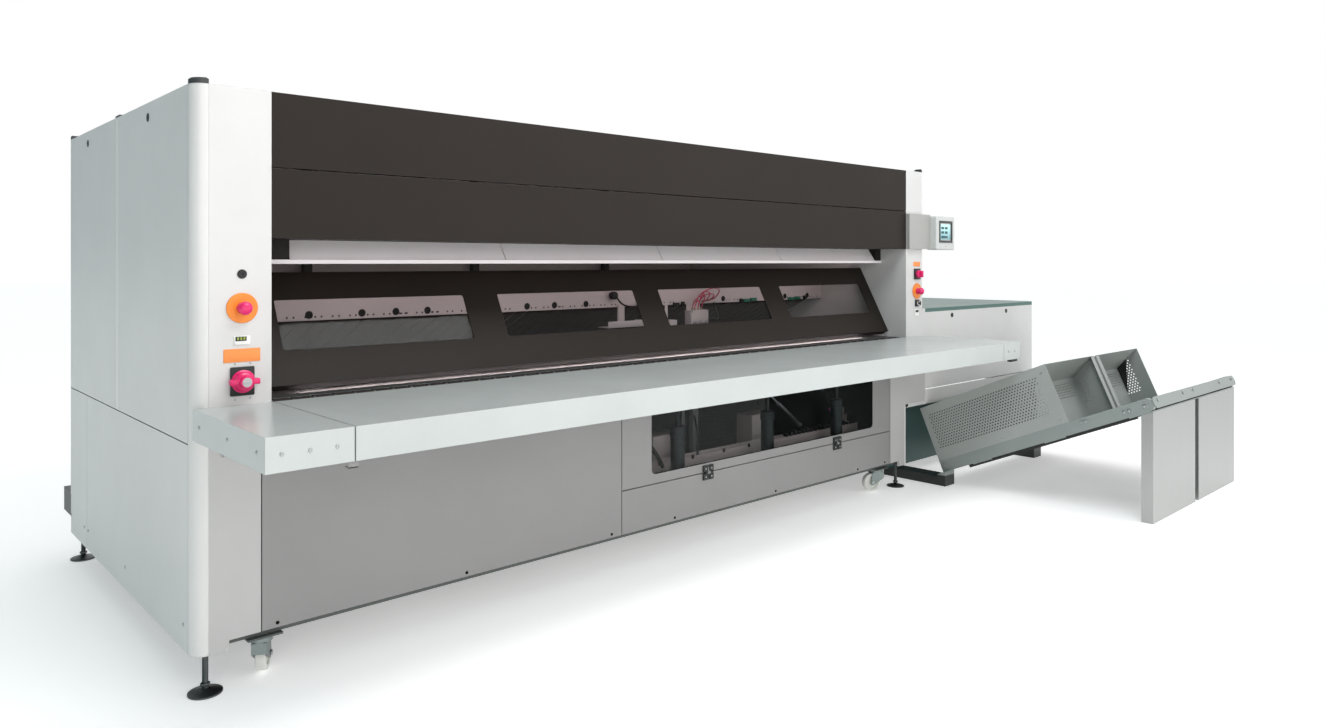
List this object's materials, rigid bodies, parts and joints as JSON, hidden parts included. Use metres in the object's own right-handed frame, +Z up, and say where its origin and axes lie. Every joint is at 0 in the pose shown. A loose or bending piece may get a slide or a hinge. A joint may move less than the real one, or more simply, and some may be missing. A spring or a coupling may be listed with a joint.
{
  "type": "flatwork folder",
  "caption": "Flatwork ironer line's folding machine: windowed guard over a tape bed, lifting front table, cross-fold cabinet and an inclined stack conveyor with two bays.",
  "frame": {"origin": "middle of the machine's footprint, on the floor under its levelling feet", "axes": "+X along the front towards the stack conveyor, +Y from the operator's side to the back, +Z up"},
  "size_m": [5.362, 3.1375, 1.808],
  "materials": {
    "casing_paint": "fine textured powder coat, warm white",
    "fascia_paint": "satin dark brown grey powder coat",
    "frame_paint": "grey enamel",
    "hood_paint": "satin grey green powder coat",
    "plate_steel": "brushed sheet",
    "roller_steel": "turned tube",
    "zinc": "bright zinc plate",
    "tape": "black coated conveyor tape",
    "belt": "black belt",
    "black_plastic": "moulded",
    "clear": "clear polycarbonate",
    "stop_red": "moulded",
    "signal_orange": "moulded and printed plates",
    "wheel_grey": "polyamide",
    "motor_grey": "painted casting",
    "hmi_grey": "moulded"
  },
  "bodies": {
    "machine": {"air_equipment": "zinc", "base_frame": "frame_paint", "bed_plate": "plate_steel", "bed_tapes": "tape", "column_covers": "casing_paint", "control_plates": "signal_orange", "corner_posts": "casing_paint", "crossfolder_lid": "casing_paint", "crossfolder_panels": "casing_paint", "deflector_plates": "casing_paint", "door_hinges": "black_plastic", "drive_gearmotor": "motor_grey", "front_panel": "casing_paint", "hmi_arm": "casing_paint", "hmi_housing": "hmi_grey", "incline_tapes": "tape", "inner_end_plates": "casing_paint", "kick_panel": "casing_paint", "leg_panels": "casing_paint", "levelling_feet": "zinc", "lower_fascia": "fascia_paint", "panel_locks": "black_plastic", "perforated_beam": "casing_paint", "post_caps": "black_plastic", "rear_panels": "casing_paint", "roller_bearings": "zinc", "roof_panels": "casing_paint", "side_panels": "casing_paint", "stacker_bays": "hood_paint", "stacker_belts": "belt", "stacker_leg_plates": "plate_steel", "stacker_rails": "hood_paint", "stacker_side_panels": "hood_paint", "table_brackets": "zinc", "table_ends": "casing_paint", "upper_fascia": "fascia_paint"},
    "guard": {"guard_frame": "fascia_paint", "guard_panes": "clear"},
    "table": {"table_leaf": "casing_paint"},
    "door": {"access_door": "casing_paint", "door_pane": "clear"},
    "left_stop": {"stop_button_left": "stop_red"},
    "right_stop": {"stop_button_right": "stop_red"},
    "isolator": {"isolator_knob": "stop_red"},
    "selector": {"selector_switch": "stop_red"},
    "key": {"key_switch": "stop_red"},
    "bed_front_roller_body": {"bed_front_roller": "roller_steel"},
    "bed_rear_roller_body": {"bed_rear_roller": "roller_steel"},
    "incline_upper_roller_body": {"incline_upper_roller": "roller_steel"},
    "incline_lower_roller_body": {"incline_lower_roller": "roller_steel"},
    "stacker_head_roller_body": {"stacker_head_roller": "roller_steel"},
    "stacker_tail_roller_body": {"stacker_tail_roller": "roller_steel"},
    "fork_front_left": {"caster_fork_front_left": "zinc"},
    "wheel_front_left": {"caster_wheel_front_left": "wheel_grey"},
    "fork_rear_left": {"caster_fork_rear_left": "zinc"},
    "wheel_rear_left": {"caster_wheel_rear_left": "wheel_grey"},
    "fork_front_right": {"caster_fork_front_right": "zinc"},
    "wheel_front_right": {"caster_wheel_front_right": "wheel_grey"},
    "fork_rear_right": {"caster_fork_rear_right": "zinc"},
    "wheel_rear_right": {"caster_wheel_rear_right": "wheel_grey"}
  },
  "joints": [
    {"name": "guard_hinge", "type": "hinge", "parent": "machine", "child": "guard", "pos_m": [-0.701, -0.01819, 1.20662], "axis": [-1, 0, 0], "range_deg": [0, 45]},
    {"name": "table_hinge", "type": "hinge", "parent": "machine", "child": "table", "pos_m": [-0.695, -0.35793, 0.832], "axis": [1, 0, 0], "range_deg": [-80, 0]},
    {"name": "door_hinge", "type": "hinge", "parent": "machine", "child": "door", "pos_m": [-0.074, -0.33593, 0.331], "axis": [1, 0, 0], "range_deg": [0, 100]},
    {"name": "left_stop_press", "type": "slide", "parent": "machine", "child": "left_stop", "axis": [0, 1, 0], "range_m": [0, 0.005], "stiffness_N_per_m": 900},
    {"name": "right_stop_press", "type": "slide", "parent": "machine", "child": "right_stop", "axis": [0, 1, 0], "range_m": [0, 0.005], "stiffness_N_per_m": 900},
    {"name": "isolator_turn", "type": "hinge", "parent": "machine", "child": "isolator", "pos_m": [-2.542, -0.35193, 0.915], "axis": [0, 1, 0], "range_deg": [0, 90]},
    {"name": "selector_turn", "type": "hinge", "parent": "machine", "child": "selector", "pos_m": [1.166, -0.35193, 1.201], "axis": [0, 1, 0], "range_deg": [-60, 60]},
    {"name": "key_turn", "type": "hinge", "parent": "machine", "child": "key", "pos_m": [1.166, -0.35193, 1.034], "axis": [0, 1, 0], "range_deg": [0, 90]},
    {"name": "bed_front_roller_spin", "type": "hinge", "parent": "machine", "child": "bed_front_roller_body", "pos_m": [-0.701, -0.28993, 0.812], "axis": [1, 0, 0], "continuous": true},
    {"name": "bed_rear_roller_spin", "type": "hinge", "parent": "machine", "child": "bed_rear_roller_body", "pos_m": [-0.701, 0.71007, 0.812], "axis": [1, 0, 0], "continuous": true},
    {"name": "incline_upper_roller_spin", "type": "hinge", "parent": "machine", "child": "incline_upper_roller_body", "pos_m": [-0.701, 0.36207, 1.064], "axis": [1, 0, 0], "continuous": true},
    {"name": "incline_lower_roller_spin", "type": "hinge", "parent": "machine", "child": "incline_lower_roller_body", "pos_m": [-0.701, 0.76607, 0.866], "axis": [1, 0, 0], "continuous": true},
    {"name": "stacker_tail_roller_spin", "type": "hinge", "parent": "machine", "child": "stacker_tail_roller_body", "pos_m": [1.906, -0.46215, 0.10636], "axis": [1, 0, 0], "continuous": true},
    {"name": "stacker_head_roller_spin", "type": "hinge", "parent": "machine", "child": "stacker_head_roller_body", "pos_m": [1.906, -1.52778, 0.56971], "axis": [1, 0, 0], "continuous": true},
    {"name": "swivel_front_left", "type": "hinge", "parent": "machine", "child": "fork_front_left", "pos_m": [-2.47, -0.28293, 0.11], "axis": [0, 0, 1], "continuous": true},
    {"name": "roll_front_left", "type": "hinge", "parent": "fork_front_left", "child": "wheel_front_left", "pos_m": [-2.453, -0.25349, 0.054], "axis": [-0.866, 0.5, 0], "continuous": true},
    {"name": "swivel_rear_left", "type": "hinge", "parent": "machine", "child": "fork_rear_left", "pos_m": [-2.47, 1.36907, 0.11], "axis": [0, 0, 1], "continuous": true},
    {"name": "roll_rear_left", "type": "hinge", "parent": "fork_rear_left", "child": "wheel_rear_left", "pos_m": [-2.487, 1.39851, 0.054], "axis": [-0.866, -0.5, 0], "continuous": true},
    {"name": "swivel_front_right", "type": "hinge", "parent": "machine", "child": "fork_front_right", "pos_m": [0.834, -0.28293, 0.11], "axis": [0, 0, 1], "continuous": true},
    {"name": "roll_front_right", "type": "hinge", "parent": "fork_front_right", "child": "wheel_front_right", "pos_m": [0.80344, -0.26803, 0.054], "axis": [-0.4384, -0.8988, 0], "continuous": true},
    {"name": "swivel_rear_right", "type": "hinge", "parent": "machine", "child": "fork_rear_right", "pos_m": [0.834, 1.36907, 0.11], "axis": [0, 0, 1], "continuous": true},
    {"name": "roll_rear_right", "type": "hinge", "parent": "fork_rear_right", "child": "wheel_rear_right", "pos_m": [0.80205, 1.35744, 0.054], "axis": [0.342, -0.9397, 0], "continuous": true}
  ],
  "couplings": [
    {"joint": "bed_front_roller_spin", "follows": "bed_rear_roller_spin", "ratio": 1},
    {"joint": "incline_upper_roller_spin", "follows": "bed_rear_roller_spin", "ratio": 1.5},
    {"joint": "incline_lower_roller_spin", "follows": "bed_rear_roller_spin", "ratio": 1.5},
    {"joint": "stacker_tail_roller_spin", "follows": "stacker_head_roller_spin", "ratio": 1}
  ]
}
